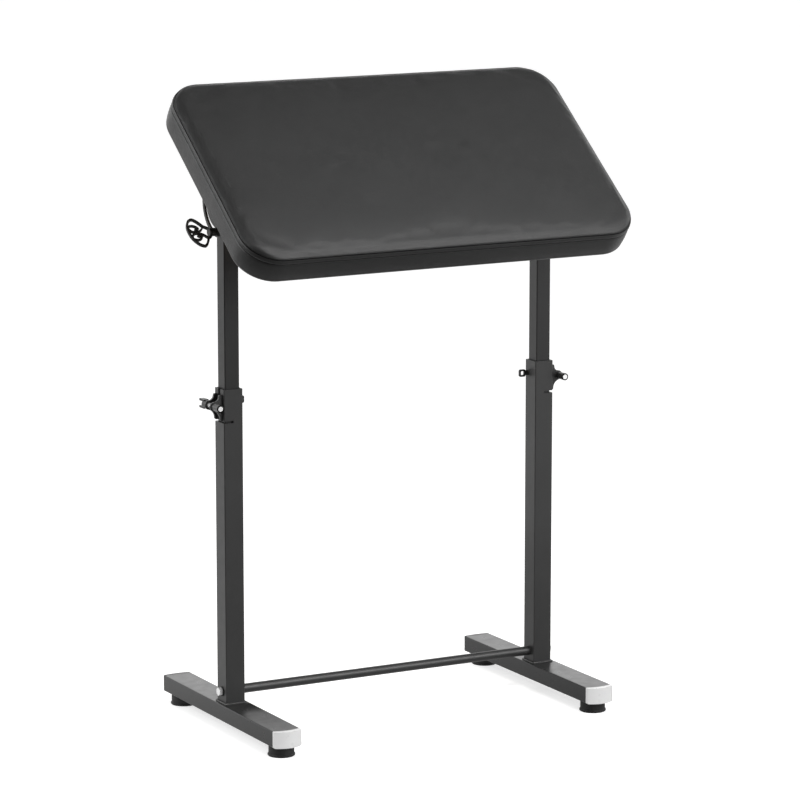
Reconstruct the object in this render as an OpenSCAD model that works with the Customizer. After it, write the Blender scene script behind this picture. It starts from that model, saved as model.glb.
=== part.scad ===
// Tattoo arm rest stand: two telescoping posts on floor feet carry a wide, tilting, padded board.
// Millimetres, +Z up. The posts stand side by side along X, and the user sits on the -Y side.
// The origin lies on the floor, at the middle of the stand's footprint as the board is tilted here.
// Paired pieces are drawn for the right-hand post, at +X, and mirrored for the left-hand one.

/* [Feet] */
// Length of a foot tube, without its end caps
foot_len = 420; // [340:1:520]
// How far the foot tube's middle lies behind its post
foot_back = 3; // [0:0.5:8]
// Width of a foot tube
foot_w = 50; // [46:1:64]
// Height of a foot tube
foot_h = 28; // [24:1:40]
// Wall of a foot tube
foot_wall = 1.5; // [1.2:0.1:2.5]
// How far a foot tube's front end is bowed forward in the middle, seen from above
front_bow = 5.5; // [3:0.5:8]
// Length of a front cap's side, from the tube's edge to the face
front_cap_side = 6.5; // [5:0.5:9]
// How far a front cap's face bulges beyond its sides
front_cap_bulge = 9; // [7:0.5:12]
// Length of a rear cap's side, from the tube's edge to the face
rear_cap_side = 5; // [3:0.5:8]
// How far a rear cap's face bulges beyond its sides
rear_cap_bulge = 3; // [2:0.5:6]
// How deep an end cap's plug goes into its tube
cap_plug = 9; // [6:0.5:11]
// Diameter of a rubber foot where it meets the tube
glide_d = 43; // [36:1:46]
// Height of a rubber foot
glide_h = 19; // [14:1:30]
// Width that the rubber foot gains at its flared rim, on each side
glide_flare = 1.5; // [0.5:0.25:2.5]
// Distance from the front end of a foot tube to the centre of its rubber foot
glide_inset_front = 18; // [17:0.5:30]
// Distance from the rear end of a foot tube to the centre of its rubber foot
glide_inset_rear = 24; // [17:0.5:30]

/* [Posts] */
// Outside width of the lower, outer post tube
outer_w = 35; // [34:0.5:38]
// Wall of the outer post tube
outer_wall = 2; // [1.5:0.1:2]
// Length of the outer post tube, from the foot tube to its open top
outer_len = 540; // [420:1:640]
// Outside width of the upper, inner post tube
inner_w = 27; // [24:0.5:27]
// Wall of the inner post tube
inner_wall = 1.5; // [1.2:0.1:2]
// Length of the inner post tube
inner_len = 600; // [560:1:680]
// Height of the tilt pivot above the top of the outer tubes
mast_reach = 312; // [250:1:380]

/* [Cross bar] */
// Diameter of the bar between the posts
bar_d = 16; // [14:0.5:22]
// Wall of the bar
bar_wall = 1.5; // [1.2:0.1:2.5]
// Height of the bar's centre above the foot tubes
bar_rise = 20; // [14:0.5:30]

/* [Height clamp] */
// Height of the slit that frees the clamp, below the top of the outer tube
slit_drop = 53; // [48:1:80]
// Width of that slit
slit_h = 4; // [3:0.25:5]
// Depth of the clamp bolt's axis below the top of the outer tube
clamp_drop = 28; // [26:0.5:28.5]
// Distance of the clamp bolt's axis from the face of the outer tube
clamp_reach = 14.5; // [12.5:0.5:18]
// Radius of the ear's nose round the clamp bolt
ear_nose_r = 8; // [7:0.25:9]
// Thickness of one ear
ear_t = 4; // [3:0.25:5]
// Gap between the two ears of a clamp
ear_gap = 16; // [12:0.5:20]
// Length of the round sleeve nut in front of the ears
sleeve_len = 22; // [14:1:30]
// Diameter of the sleeve nut
sleeve_d = 12.5; // [11:0.25:14]
// Length of the forked nut behind the ears
fork_len = 26; // [20:1:34]
// Height of the fork, across its two prongs
fork_h = 15.5; // [14:0.25:20]

/* [Loop screws] */
// Distance of a loop screw behind the middle of its post
loop_back = 12; // [8:0.5:12]
// Outside length of the loop
loop_len = 12.5; // [10:0.5:18]
// Outside height of the loop
loop_h = 13; // [11:0.5:18]

/* [Tilt] */
// Tilt of the board, its front edge low
tilt = 38; // [0:0.5:50]
// Furthest tilt that the sector slot allows, each way
tilt_limit = 55; // [50:1:60]
// Outside radius of the sector plate about the pivot
sector_r = 58.5; // [58:0.5:66]
// Radius of the arc slot about the pivot
slot_r = 48; // [46:0.5:48]
// Thickness of the bracket's steel
bracket_t = 4; // [3:0.25:5]
// Width of the bracket's flange under the board
flange_w = 36; // [32:1:46]
// Length of the bracket's flange
flange_len = 150; // [130:1:180]
// Diameter of the pivot bolts, lock bolts, clamp bolts and bar bolts
bolt_d = 8; // [7:0.25:8.5]
// Span of the lock handle, from wing tip to wing tip
handle_span = 69; // [60:1:76]
// Length of the lock handle along its bolt
handle_len = 52; // [48:1:58]
// Thickness of the lock handle's wings
handle_t = 4; // [3:0.25:5]
// Angle of the lock handle's wings above the horizontal
handle_turn = 34.5; // [0:0.5:90]

/* [Board] */
// Width of the padded board
pad_w = 738; // [600:1:800]
// Depth of the padded board
pad_d = 418; // [320:1:480]
// How far the padded board reaches beyond the middle of each post
pad_overhang = 68; // [50:0.5:120]
// Radius of the board's corners, seen from above
pad_corner_r = 62; // [40:1:80]
// Height of the pad's side, from its lower edge to the seam
pad_side_h = 48; // [36:1:60]
// Rise of the crown above the seam
crown_h = 12; // [6:0.5:20]
// How far in from the sides the crown still rises
crown_reach = 110; // [80:1:150]
// How far the sides are drawn in at their middle
side_draw = 1.5; // [0:0.25:5]
// Thickness of the wooden board in the pad
board_t = 12; // [9:0.5:18]
// Thickness of the cover
cover_t = 2; // [1.5:0.1:3]
// Width of the cover's return under the board
cover_return = 25; // [15:1:35]
// Distance from the pivot up to the underside of the wooden board
pivot_drop = 40; // [36:0.5:48]
// Distance of the pivot behind the middle of the board
pivot_back = 12; // [0:0.5:30]

/* [Hidden] */
$fn = 48;
// Clearances: running fits, flat sliding fits, seats of fixed pieces, and room round a bolt in a slot
running_gap = 0.05;
slide_gap = 0.2;
seat_gap = 0.1;
soft_gap = 0.3;
slot_gap = 0.5;
// Overrun of every cut
over = 1;
// Corner radius of the drawn tubes, and of the caps' plugs
tube_r = 1.5;
// Size of the weld bead at the foot of a post
bead = 2.5;
bead_step = 0.05;

// Rubber feet, their screws and the nuts in the tubes
glide_rim_h = 3;
glide_screw_d = 6;
glide_head_d = 13;
glide_head_h = 4;
glide_pocket_d = 16;
glide_pocket_h = 9;
rivet_nut_d = 9;
rivet_nut_h = 9;
rivet_rim_d = 12;
rivet_rim_h = 1;

// Height of the foot tubes' top, and of everything that stands on it
foot_top = glide_h + foot_h;
outer_top = foot_top + outer_len;
bar_z = foot_top + bar_rise;
pivot_z = outer_top + mast_reach;
post_spacing = pad_w - 2 * pad_overhang;
post_x = post_spacing / 2;
function glide_y(end) =
    foot_back + (end < 0 ? glide_inset_front - foot_len / 2 : foot_len / 2 - glide_inset_rear);
outer_face = outer_w / 2;
inner_face = inner_w / 2;
outer_bore_w = outer_w - 2 * outer_wall;
inner_bore_w = inner_w - 2 * inner_wall;

// Bolts, nuts and washers
bolt_r = bolt_d / 2;
hex_share = 1.62;
hex_w = bolt_d * hex_share;
hex_h = 5.3;
nut_h = 6.5;
washer_d = 17;
washer_t = 1.6;
lock_washer_d = 16;
bar_insert_len = 30;
bar_bolt_reach = 18;

// Height clamp
clamp_z = outer_top - clamp_drop;
slit_top = outer_top - slit_drop;
slit_reach_share = 0.5;
mouth_w = 8;
ear_rise = 19;
ear_top_w = 5.5;
ear_fall = slit_drop - clamp_drop;
ear_foot_w = 2.5;
ear_foot_h = 5;
flank_r = 14.5;
flank_out = 4.5;
flank_down = 22;
ear_front = -ear_gap / 2 - ear_t;
ear_back = ear_gap / 2 + ear_t;
clamp_tip = 1.2;
clamp_tip_d = 8.6;
fork_hub_len = 12;
fork_hub_d = 14;
fork_bar = 3.6;
fork_w = 9;
bush_len = 50;
bush_sink = 1;
bush_split = 4;

// Loop screws on the inner faces of the posts
loop_z_up = 4.5;
loop_bar = 3.1;
loop_t = 3.2;
loop_shank_d = 5;
loop_nut_d = 9;
loop_nut_h = 2.5;
loop_collar_d = 8;
loop_collar_h = 1;

// Inner tube, its end plug and its sliding shoe
pivot_to_top = 15;
plug_rim = 2;
plug_depth = 12;
shoe_rim = 8;
shoe_depth = 14;
inner_top = pivot_z + pivot_to_top;
inner_base = inner_top - inner_len;

// Bracket under the board
plate_x = post_x + inner_face + slide_gap;
plate_out = plate_x + bracket_t;
slot_half = bolt_r + slot_gap;
screw_d = 4;
screw_head_d = 8;
screw_head_h = 2.6;
screw_cover = 3;
screw_len = board_t - screw_cover;
screw_step_y_share = 0.38;
screw_row_shares = [0.28, 0.76];
arc_steps = 24;
lock_z = pivot_z - slot_r;

// Lock handle: its hub, wing strokes and scrolls
hub_d = 14;
hub_len = 15;
hub_bore = 11;
handle_start = plate_out + seat_gap + washer_t + slide_gap;
stroke = 3.9;
scroll_stroke = 3.1;
// Lines of half a wing, as shares of the handle's length out from its hub and of its span across
rim_shares = [[0.963, 0], [0.948, 0.155], [0.894, 0.288], [0.8, 0.414], [0.69, 0.472]];
back_shares = [
    [0.69, 0.472], [0.628, 0.468], [0.532, 0.397], [0.456, 0.3], [0.389, 0.212], [0.3, 0.16], [0.2, 0.08]
];
volute_shares = [
    [0.935, 0.19], [0.87, 0.235], [0.77, 0.252], [0.667, 0.222], [0.602, 0.165], [0.61, 0.112], [0.672, 0.102]
];
spine_shares = [
    [0.93, 0.2], [0.905, 0.12], [0.862, 0.06], [0.75, 0.022], [0.62, 0.036], [0.5, 0.095], [0.4, 0.2]
];
ball_share = 0.05;
curve_steps = 4;

// Pad: its lower edge, the rings of its profile, and its heights above the wooden board's underside
edge_r = 5;
pad_base = -cover_t - soft_gap;
seam_z = pad_base + pad_side_h;
corner_steps = 6;
long_steps = 5;
short_steps = 3;
low_shares = [[1, 0], [0.3, 0.3], [0, 1]];
side_land = 6;
crown_in_shares = [0.01, 0.036, 0.09, 0.22, 0.47, 1];
crown_rise_shares = [0.2, 0.44, 0.62, 0.76, 0.91, 1];

left = -1;
right = 1;

// Outline of the padded board, anticlockwise, with its sides drawn in between the corners
function corner(cx, cy, from, r) = [
    for (i = [0 : corner_steps]) let (a = from + 90 * i / corner_steps) [cx + r * cos(a), cy + r * sin(a)]
];
function bow(i, n) = side_draw * (1 - pow(2 * i / n - 1, 2));
function side_x(x, y, n) = [for (i = [1 : n - 1]) [x - sign(x) * bow(i, n), y * (2 * i / n - 1)]];
function side_y(x, y, n) = [for (i = [1 : n - 1]) [x * (1 - 2 * i / n), y - sign(y) * bow(i, n)]];
function outline(w, d, r) = concat(
    corner(w / 2 - r, d / 2 - r, 0, r), side_y(w / 2 - r, d / 2, long_steps),
    corner(r - w / 2, d / 2 - r, 90, r), side_x(-w / 2, r - d / 2, short_steps),
    corner(r - w / 2, r - d / 2, 180, r), side_y(r - w / 2, -d / 2, long_steps),
    corner(w / 2 - r, r - d / 2, 270, r), side_x(w / 2, d / 2 - r, short_steps)
);
pad_outline = outline(pad_w, pad_d, pad_corner_r);

// One ring of the pad: the outline shrunk by an inset, at a height
function ring(inset, z) = [
    for (p = pad_outline) [p.x * (1 - 2 * inset / pad_w), p.y * (1 - 2 * inset / pad_d), z]
];
// The profile of the pad's skin, lying a depth t inside the outer skin, from the height z0 up
function profile(t, z0) = concat(
    [for (s = low_shares) [t + s.x * (edge_r - t), z0 + s.y * (edge_r - t)]],
    [[t, seam_z - side_land - t]],
    [for (i = [0 : len(crown_in_shares) - 1])
        [t + crown_reach * crown_in_shares[i], seam_z + crown_h * crown_rise_shares[i] - t]]
);
function skin_points(t, z0) = let (rows = profile(t, z0)) concat(
    [for (row = rows) each ring(row.x, row.y)],
    [[0, 0, rows[0].y], [0, 0, rows[len(rows) - 1].y]]
);
function skin_faces(rows, n) = concat(
    [for (k = [0 : rows - 2], i = [0 : n - 1]) [k * n + i, (k + 1) * n + i, (k + 1) * n + (i + 1) % n]],
    [for (k = [0 : rows - 2], i = [0 : n - 1]) [k * n + i, (k + 1) * n + (i + 1) % n, k * n + (i + 1) % n]],
    [for (i = [0 : n - 1]) [rows * n, i, (i + 1) % n]],
    [for (i = [0 : n - 1]) [rows * n + 1, (rows - 1) * n + (i + 1) % n, (rows - 1) * n + i]]
);

// The footprint's middle lies halfway between the tilted pad's front and the rear end caps
pad_front = min([
    for (p = skin_points(0, pad_base)) (p.y - pivot_back) * cos(tilt) - (p.z + pivot_drop) * sin(tilt)
]);
post_y = -(pad_front + foot_back + foot_len / 2 + rear_cap_side + rear_cap_bulge) / 2;

// Placing: one side of the stand, both sides, the post line, and the tilted board
module side(s) {
    translate([0, post_y, 0]) mirror([s < 0 ? 1 : 0, 0, 0]) children();
}
module both() {
    side(left) children();
    side(right) children();
}
module on_board() {
    translate([0, post_y, pivot_z]) rotate([tilt, 0, 0]) translate([0, -pivot_back, pivot_drop]) children();
}
module along_x(x, len) {
    translate([x, 0, 0]) rotate([0, 90, 0]) linear_extrude(len) children();
}
module plate_yz(x, t) {
    translate([x, 0, 0]) rotate([90, 0, 90]) linear_extrude(t) children();
}
module plate_xz(y, t) {
    translate([0, y + t, 0]) rotate([90, 0, 0]) linear_extrude(t) children();
}
module rounded_rect(w, h, r) {
    square([w - 2 * r, h], center = true);
    square([w, h - 2 * r], center = true);
    for (x = [-1, 1], y = [-1, 1]) translate([x * (w / 2 - r), y * (h / 2 - r)]) circle(r);
}
module ring_2d(outer_r, bore_r) {
    difference() {
        circle(outer_r);
        circle(bore_r);
    }
}
module hex_2d(w) {
    circle(d = w / cos(30), $fn = 6);
}

// Radius of the arc that rises by a bow across a given half width
function bow_r(half, bow) = (half * half + bow * bow) / (2 * bow);
module bow_disc(half, bow) {
    r = bow_r(half, bow);
    translate([0, bow - r, 0]) linear_extrude(2 * foot_h, center = true) circle(r, $fn = 96);
}

// Foot tube: a rectangular steel tube, bowed at its front end, with a hole below for each rubber foot
module foot_tube() color("#2b2b2c") translate([post_x, foot_back, glide_h + foot_h / 2]) difference() {
    translate([0, -front_bow / 2, 0]) rotate([90, 0, 0])
        linear_extrude(foot_len + front_bow, center = true) difference() {
            rounded_rect(foot_w, foot_h, tube_r);
            square([foot_w - 2 * foot_wall, foot_h - 2 * foot_wall], center = true);
        }
    translate([0, -foot_len / 2, 0]) mirror([0, 1, 0]) difference() {
        translate([-foot_w / 2 - over, -over, -foot_h / 2 - over])
            cube([foot_w + 2 * over, front_bow + 2 * over, foot_h + 2 * over]);
        bow_disc(foot_w / 2, front_bow);
    }
    for (end = [-1, 1]) translate([0, glide_y(end) - foot_back, -foot_h / 2 - over])
        cylinder(d = rivet_nut_d + 2 * running_gap, h = foot_wall + 2 * over);
}

// End cap: a plug in the tube behind a body whose face bulges in plan
module cap_body(side_len, bulge) {
    reach = side_len + bulge;
    intersection() {
        translate([0, reach, 0]) rotate([90, 0, 0]) linear_extrude(reach) rounded_rect(foot_w, foot_h, tube_r);
        translate([0, side_len, 0]) bow_disc(foot_w / 2, bulge);
    }
}
module cap_plug(joint) {
    plug_w = foot_w - 2 * foot_wall - 2 * seat_gap;
    plug_h = foot_h - 2 * foot_wall - 2 * seat_gap;
    difference() {
        translate([0, joint, 0]) rotate([90, 0, 0]) linear_extrude(cap_plug + joint)
            square([plug_w, plug_h], center = true);
        translate([0, -foot_wall, 0]) rotate([90, 0, 0]) linear_extrude(cap_plug)
            square([plug_w - 2 * foot_wall, plug_h - 2 * foot_wall], center = true);
    }
}
module foot_cap_rear() color("#1c1c1d") translate([post_x, foot_back + foot_len / 2, glide_h + foot_h / 2]) {
    cap_body(rear_cap_side, rear_cap_bulge);
    cap_plug(0);
}
module foot_cap_front() color("#cfd1d2")
    translate([post_x, foot_back - foot_len / 2, glide_h + foot_h / 2]) mirror([0, 1, 0]) {
        difference() {
            cap_body(front_cap_side, front_cap_bulge);
            bow_disc(foot_w / 2, front_bow);
        }
        cap_plug(front_cap_side);
    }

// Rubber foot: a flared disc with a pocket below for its screw's head
module rubber_foot(end) color("#161616")
    translate([post_x, glide_y(end), 0]) rotate_extrude($fn = 96)
        polygon([
            [glide_screw_d / 2 + seat_gap, glide_pocket_h], [glide_pocket_d / 2, glide_pocket_h],
            [glide_pocket_d / 2, 0], [glide_d / 2 + glide_flare - over, 0],
            [glide_d / 2 + glide_flare, over], [glide_d / 2 + glide_flare, glide_rim_h],
            [glide_d / 2, glide_rim_h + glide_flare], [glide_d / 2, glide_h],
            [glide_screw_d / 2 + seat_gap, glide_h]
        ]);

// Screws that hold the rubber feet, and the rivet nuts in the foot tubes that they turn into
module rubber_foot_screws() color("#b9bcc0") both()
    for (end = [-1, 1]) translate([post_x, glide_y(end), 0]) {
        translate([0, 0, glide_pocket_h - glide_head_h]) cylinder(d = glide_head_d, h = glide_head_h);
        translate([0, 0, glide_pocket_h])
            cylinder(d = glide_screw_d, h = glide_h - glide_pocket_h + rivet_nut_h);
    }
module rivet_nuts() color("#9a9da1") both()
    for (end = [-1, 1]) translate([post_x, glide_y(end), glide_h]) difference() {
        union() {
            cylinder(d = rivet_nut_d, h = rivet_nut_h + foot_wall);
            translate([0, 0, foot_wall]) cylinder(d = rivet_rim_d, h = rivet_rim_h);
        }
        translate([0, 0, -over])
            cylinder(d = glide_screw_d + 2 * running_gap, h = rivet_nut_h + foot_wall + 2 * over);
    }

// Outer post: a square tube welded to the foot, slit near its top so that the clamp can close it
module weld_bead() hull() {
    translate([0, 0, foot_top]) linear_extrude(bead_step) square(outer_w + 2 * bead, center = true);
    translate([0, 0, foot_top + bead]) linear_extrude(bead_step) square(outer_w, center = true);
}
module outer_post() color("#2b2b2c") translate([post_x, 0, 0]) difference() {
    union() {
        translate([0, 0, foot_top]) linear_extrude(outer_len) rounded_rect(outer_w, outer_w, tube_r);
        weld_bead();
    }
    translate([0, 0, foot_top - over])
        linear_extrude(outer_len + 2 * over) square(outer_bore_w, center = true);
    translate([outer_face - outer_w * slit_reach_share, -outer_face - over, slit_top - slit_h])
        cube([outer_w * slit_reach_share + over, outer_w + 2 * over, slit_h]);
    translate([outer_face - outer_wall - over, -mouth_w / 2, slit_top - over])
        cube([outer_wall + 2 * over, mouth_w, slit_drop + 2 * over]);
    translate([0, 0, bar_z]) along_x(-outer_face - over, outer_w + 2 * over) circle(bolt_r + running_gap);
    translate([0, loop_back, clamp_z + loop_z_up]) along_x(-outer_face - over, outer_wall + 2 * over)
        circle(d = loop_shank_d + 2 * running_gap);
}

// Clamp ears: two welded lugs with a nose round the bolt and hollow flanks
module ear_2d() {
    difference() {
        union() {
            polygon([
                [0, ear_rise], [ear_top_w, ear_rise],
                [clamp_reach - ear_nose_r, 2 * ear_nose_r], [clamp_reach, 2 * ear_nose_r],
                [clamp_reach, -ear_fall + ear_foot_h],
                [ear_foot_w + ear_foot_h, -ear_fall + ear_foot_h], [ear_foot_w, -ear_fall], [0, -ear_fall]
            ]);
            translate([clamp_reach, 0]) circle(ear_nose_r);
        }
        translate([clamp_reach, 2 * ear_nose_r]) circle(ear_nose_r);
        translate([clamp_reach + flank_out, -flank_down]) circle(flank_r);
        translate([clamp_reach, 0]) circle(bolt_r + running_gap);
    }
}
module clamp_ears() color("#333334")
    for (y = [ear_front, ear_gap / 2])
        translate([post_x + outer_face, 0, clamp_z]) plate_xz(y, ear_t) ear_2d();

// Guide bush: a plastic sleeve between the two tubes, split on its inner side, with a key in the post's slot
module guide_bush() color("#111111") translate([post_x, 0, outer_top - bush_sink - bush_len]) difference() {
    union() {
        linear_extrude(bush_len) square(outer_bore_w - 2 * seat_gap, center = true);
        translate([0, seat_gap - mouth_w / 2, 0])
            cube([outer_face - bush_sink, mouth_w - 2 * seat_gap, bush_len]);
    }
    translate([0, 0, -over]) linear_extrude(bush_len + 2 * over) square(inner_w + 2 * slide_gap, center = true);
    translate([-outer_w, -bush_split / 2, -over]) cube([outer_w, bush_split, bush_len + 2 * over]);
    translate([0, loop_back, clamp_z + loop_z_up - (outer_top - bush_sink - bush_len)])
        along_x(-outer_w, outer_w - inner_face + over) circle(d = loop_shank_d + 2 * seat_gap);
}

// Cross bar with a threaded insert in each end, and the bolts and washers on the posts' outer faces
module cross_bar() color("#2b2b2c") translate([0, post_y, bar_z])
    along_x(-post_x + outer_face, post_spacing - outer_w) ring_2d(bar_d / 2, bar_d / 2 - bar_wall);
module cross_bar_inserts() color("#9a9da1") both() translate([0, 0, bar_z])
    along_x(post_x - outer_face - bar_insert_len, bar_insert_len)
        ring_2d(bar_d / 2 - bar_wall - seat_gap, bolt_r + running_gap);
module cross_bar_washers() color("#1b1b1b") both() translate([0, 0, bar_z])
    along_x(post_x + outer_face, washer_t) ring_2d(washer_d / 2, bolt_r + running_gap);
module cross_bar_bolts() color("#d9dbdd") both() translate([0, 0, bar_z]) {
    head_x = post_x + outer_face + washer_t;
    start = post_x - outer_face - bar_bolt_reach;
    along_x(start, head_x - start) circle(bolt_r);
    along_x(head_x, hex_h) hex_2d(hex_w);
}

// Clamp bolt, the sleeve nut at its front end and the forked nut that is turned at its rear end
module on_clamp_axis()
    translate([post_x + outer_face + clamp_reach, 0, clamp_z]) rotate([-90, 0, 0]) children();
module clamp_bolt() color("#e4e5e6") on_clamp_axis() {
    translate([0, 0, ear_front - sleeve_len])
        cylinder(r = bolt_r, h = ear_back + sleeve_len - ear_front + fork_hub_len);
    translate([0, 0, ear_front - sleeve_len - clamp_tip]) cylinder(d = clamp_tip_d, h = clamp_tip);
}
module clamp_sleeve() color("#141414") on_clamp_axis() translate([0, 0, ear_front - sleeve_len])
    linear_extrude(sleeve_len) ring_2d(sleeve_d / 2, bolt_r + running_gap);
module fork_nut() color("#141414") on_clamp_axis() translate([0, 0, ear_back + slide_gap]) {
    linear_extrude(fork_hub_len) ring_2d(fork_hub_d / 2, bolt_r + running_gap);
    for (z = [-1, 1]) translate([-fork_w / 2, z > 0 ? fork_h / 2 - fork_bar : -fork_h / 2, 0])
        translate([0, 0, fork_hub_len - fork_bar])
            cube([fork_w, fork_bar, fork_len - fork_hub_len + fork_bar]);
}

// Loop screw on the inner face of a post: it steadies the inner tube, and its head is a flat loop
module on_loop_axis() translate([post_x - outer_face, loop_back, clamp_z + loop_z_up]) children();
module loop_screw_nuts() color("#1b1b1b") both() on_loop_axis()
    along_x(-loop_nut_h, loop_nut_h) ring_2d(loop_nut_d / 2, loop_shank_d / 2 + running_gap);
module loop_screw() color("#141414") on_loop_axis() {
    reach = outer_wall + (outer_bore_w - inner_w) / 2 - slide_gap;
    along_x(-loop_nut_h - loop_collar_h, loop_nut_h + loop_collar_h + reach) circle(d = loop_shank_d);
    along_x(-loop_nut_h - slide_gap - loop_collar_h, loop_collar_h) circle(d = loop_collar_d);
    translate([-loop_nut_h - slide_gap - loop_collar_h - loop_len / 2, 0, 0]) plate_xz(-loop_t / 2, loop_t)
        difference() {
            rounded_rect(loop_len, loop_h, loop_bar);
            rounded_rect(loop_len - 2 * loop_bar, loop_h - 2 * loop_bar, loop_bar / 2);
        }
}

// Inner post: the square tube that slides in the outer one and carries the board at its top
module inner_post() color("#2b2b2c") translate([post_x, 0, 0]) difference() {
    translate([0, 0, inner_base]) linear_extrude(inner_len) difference() {
        rounded_rect(inner_w, inner_w, tube_r);
        square(inner_bore_w, center = true);
    }
    for (z = [pivot_z, lock_z]) translate([0, 0, z])
        along_x(-inner_face - over, inner_w + 2 * over) circle(bolt_r + running_gap);
}
module post_plug() color("#111111") translate([post_x, 0, inner_top]) {
    linear_extrude(plug_rim) rounded_rect(inner_w, inner_w, tube_r);
    difference() {
        translate([0, 0, -plug_depth]) linear_extrude(plug_depth)
            square(inner_bore_w - 2 * seat_gap, center = true);
        translate([0, 0, -pivot_to_top]) along_x(-inner_face, inner_w) circle(bolt_r + seat_gap);
    }
}
module post_shoe() color("#111111") translate([post_x, 0, inner_base]) difference() {
    union() {
        translate([0, 0, -shoe_rim])
            linear_extrude(shoe_rim) square(outer_bore_w - 2 * slide_gap, center = true);
        linear_extrude(shoe_depth) square(inner_bore_w - 2 * seat_gap, center = true);
    }
    translate([0, 0, -shoe_rim - over]) linear_extrude(shoe_rim + shoe_depth + 2 * over)
        square(inner_bore_w - 2 * inner_wall - 2 * seat_gap, center = true);
}

// Pivot: a bolt through each inner post and bracket, with its nut on the post's inner face
module pivot_bolts() color("#1b1b1b") both() translate([0, 0, pivot_z]) {
    start = post_x - inner_face - nut_h;
    along_x(start, plate_out + seat_gap - start) circle(bolt_r);
    along_x(plate_out + seat_gap, hex_h) hex_2d(hex_w);
}
module pivot_nuts() color("#1b1b1b") both() translate([0, 0, pivot_z])
    along_x(post_x - inner_face - nut_h, nut_h) difference() {
        hex_2d(hex_w);
        circle(bolt_r + running_gap);
    }

// Tilt lock: a bolt through the post and the bracket's arc slot, a washer and the scroll handle
module tilt_lock_bolt() color("#1b1b1b") translate([0, 0, lock_z]) {
    along_x(post_x - inner_face - hex_h, hex_h) hex_2d(hex_w);
    start = post_x - inner_face;
    along_x(start, handle_start + hub_bore - over - start) circle(bolt_r);
}
module tilt_lock_washers() color("#1b1b1b") both() translate([0, 0, lock_z])
    along_x(plate_out + seat_gap, washer_t) ring_2d(lock_washer_d / 2, bolt_r + running_gap);

// A smooth line through points, and the band that a stroke of a given width makes along it
function spline(a, b, c, d, t) =
    (2 * b + (c - a) * t + (2 * a - 5 * b + 4 * c - d) * t * t + (3 * b - a - 3 * c + d) * t * t * t) / 2;
function smooth(p, n) = let (last = len(p) - 1) concat(
    [for (i = [0 : last - 1], k = [0 : n - 1])
        spline(p[max(i - 1, 0)], p[i], p[i + 1], p[min(i + 2, last)], k / n)],
    [p[last]]
);
function across(p, i) = let (d = p[min(i + 1, len(p) - 1)] - p[max(i - 1, 0)]) [-d.y, d.x] / norm(d);
module stroke_2d(shares, w) {
    line = smooth([for (s = shares) [handle_len * s.x, handle_span * s.y]], curve_steps);
    last = len(line) - 1;
    polygon(concat(
        [for (i = [0 : last]) line[i] + across(line, i) * w / 2],
        [for (i = [last : -1 : 0]) line[i] - across(line, i) * w / 2]
    ));
    for (p = [line[0], line[last]]) translate(p) circle(d = w, $fn = 12);
}
module wing_2d() {
    stroke_2d(rim_shares, stroke);
    stroke_2d(back_shares, stroke);
    stroke_2d(volute_shares, scroll_stroke);
    stroke_2d(spine_shares, scroll_stroke);
    ball = volute_shares[len(volute_shares) - 1];
    translate([handle_len * ball.x, handle_span * ball.y]) circle(handle_span * ball_share, $fn = 12);
}
module tilt_handle() color("#141414") translate([handle_start, 0, lock_z]) rotate([handle_turn, 0, 0]) {
    translate([0, 0, -handle_t / 2]) linear_extrude(handle_t) difference() {
        union() {
            wing_2d();
            mirror([0, 1, 0]) wing_2d();
        }
        translate([-over, -hub_d]) square([hub_bore + over, 2 * hub_d]);
    }
    difference() {
        along_x(0, hub_len) circle(d = hub_d);
        along_x(-over, hub_bore + over) circle(bolt_r + running_gap);
    }
}

// Bracket under the board: a sector plate with the pivot hole and the arc slot, bent from its flange
function arc(r, from, to) = [
    for (i = [0 : arc_steps]) let (a = from + (to - from) * i / arc_steps) [r * sin(a), -r * cos(a)]
];
module sector_2d() {
    slot_end = [slot_r * sin(tilt_limit), -slot_r * cos(tilt_limit)];
    difference() {
        polygon(concat(arc(sector_r, -90, 90), [[sector_r, pivot_drop], [-sector_r, pivot_drop]]));
        polygon(concat(
            arc(slot_r + slot_half, -tilt_limit, tilt_limit),
            [for (p = arc(slot_half, tilt_limit, tilt_limit + 180)) slot_end + p],
            arc(slot_r - slot_half, tilt_limit, -tilt_limit),
            [for (p = arc(slot_half, 180 - tilt_limit, 360 - tilt_limit)) [-slot_end.x, slot_end.y] + p]
        ));
        circle(bolt_r + running_gap);
    }
}
module screw_places() for (y = [-1, 1], row = screw_row_shares)
    translate([plate_out - flange_w * row, pivot_back + y * flange_len * screw_step_y_share, 0]) children();
module tilt_bracket(s) color("#222223") on_board() mirror([s < 0 ? 1 : 0, 0, 0]) {
    translate([0, pivot_back, -pivot_drop]) plate_yz(plate_x, bracket_t) sector_2d();
    difference() {
        translate([plate_out - flange_w, pivot_back - flange_len / 2, -bracket_t])
            cube([flange_w, flange_len, bracket_t]);
        screw_places() translate([0, 0, -bracket_t - over])
            cylinder(d = screw_d + 2 * running_gap, h = bracket_t + 2 * over);
    }
}
module bracket_screws() color("#8d9094") on_board() for (s = [0, 1]) mirror([s, 0, 0]) screw_places() {
    translate([0, 0, -bracket_t - screw_head_h]) cylinder(d = screw_head_d, h = screw_head_h);
    translate([0, 0, -bracket_t]) cylinder(d = screw_d, h = bracket_t + screw_len);
}

// Wooden board in the pad, with pilot holes for the brackets' screws
module inset_2d(inset) rounded_rect(pad_w - 2 * inset, pad_d - 2 * inset, pad_corner_r - inset);
module base_board() color("#a98a5c") on_board() difference() {
    linear_extrude(board_t - soft_gap) inset_2d(edge_r + soft_gap + side_draw);
    for (s = [0, 1]) mirror([s, 0, 0]) screw_places() translate([0, 0, -over])
        cylinder(d = screw_d + 2 * running_gap, h = screw_len + seat_gap + over);
}

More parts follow.
